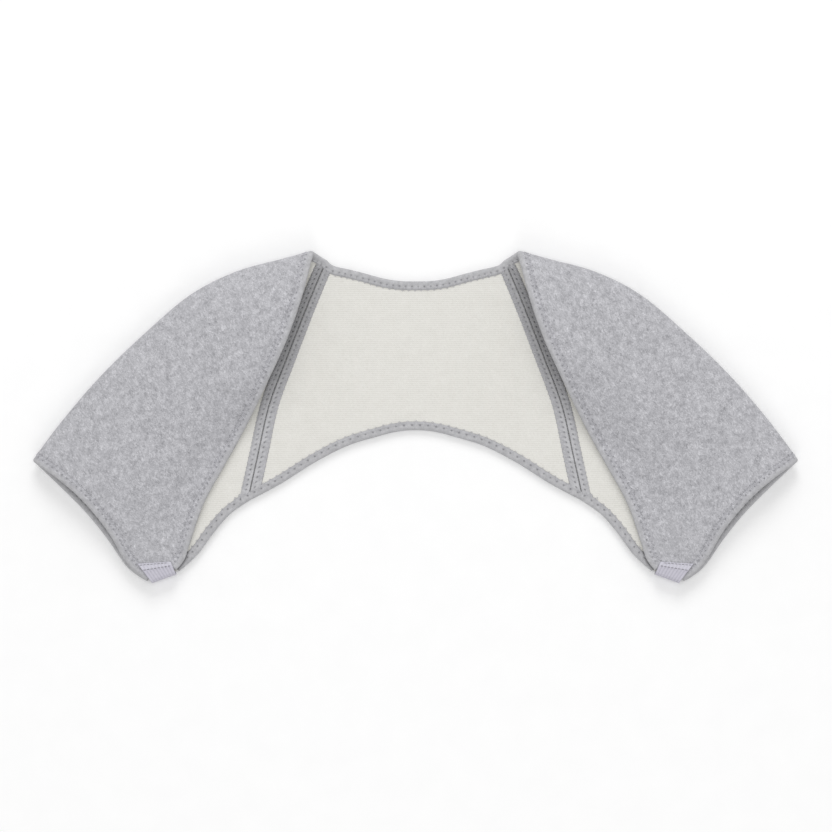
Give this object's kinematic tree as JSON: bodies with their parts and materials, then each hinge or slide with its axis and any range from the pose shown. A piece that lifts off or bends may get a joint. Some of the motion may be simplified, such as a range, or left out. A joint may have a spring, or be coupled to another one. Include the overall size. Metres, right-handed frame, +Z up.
{
  "type": "shoulder warmer",
  "caption": "Fleece shoulder warmer laid on its back: a lined back panel with short sleeves folded over the shoulders, bound edges and elastic under the arms.",
  "frame": {"origin": "on the surface it lies on, under the middle of its width and of its length", "axes": "+X across the shoulders to the right of the picture, +Y from hem to neck, +Z up out of the surface"},
  "size_m": [0.6484, 0.2815, 0.0311],
  "materials": {
    "fleece": "brushed heather grey",
    "lining": "fine cream knit",
    "tape": "grey knitted tape",
    "elastic": "ribbed pale elastic"
  },
  "bodies": {
    "root": {"back_panel": "fleece", "left_sleeve": "fleece", "right_sleeve": "fleece", "back_lining": "lining", "left_sleeve_lining": "lining", "right_sleeve_lining": "lining", "neck_binding": "tape", "hem_binding": "tape", "left_cuff_binding": "tape", "right_cuff_binding": "tape", "left_sleeve_tape": "tape", "right_sleeve_tape": "tape", "left_back_tape": "tape", "right_back_tape": "tape", "left_elastic": "elastic", "right_elastic": "elastic"}
  },
  "joints": []
}
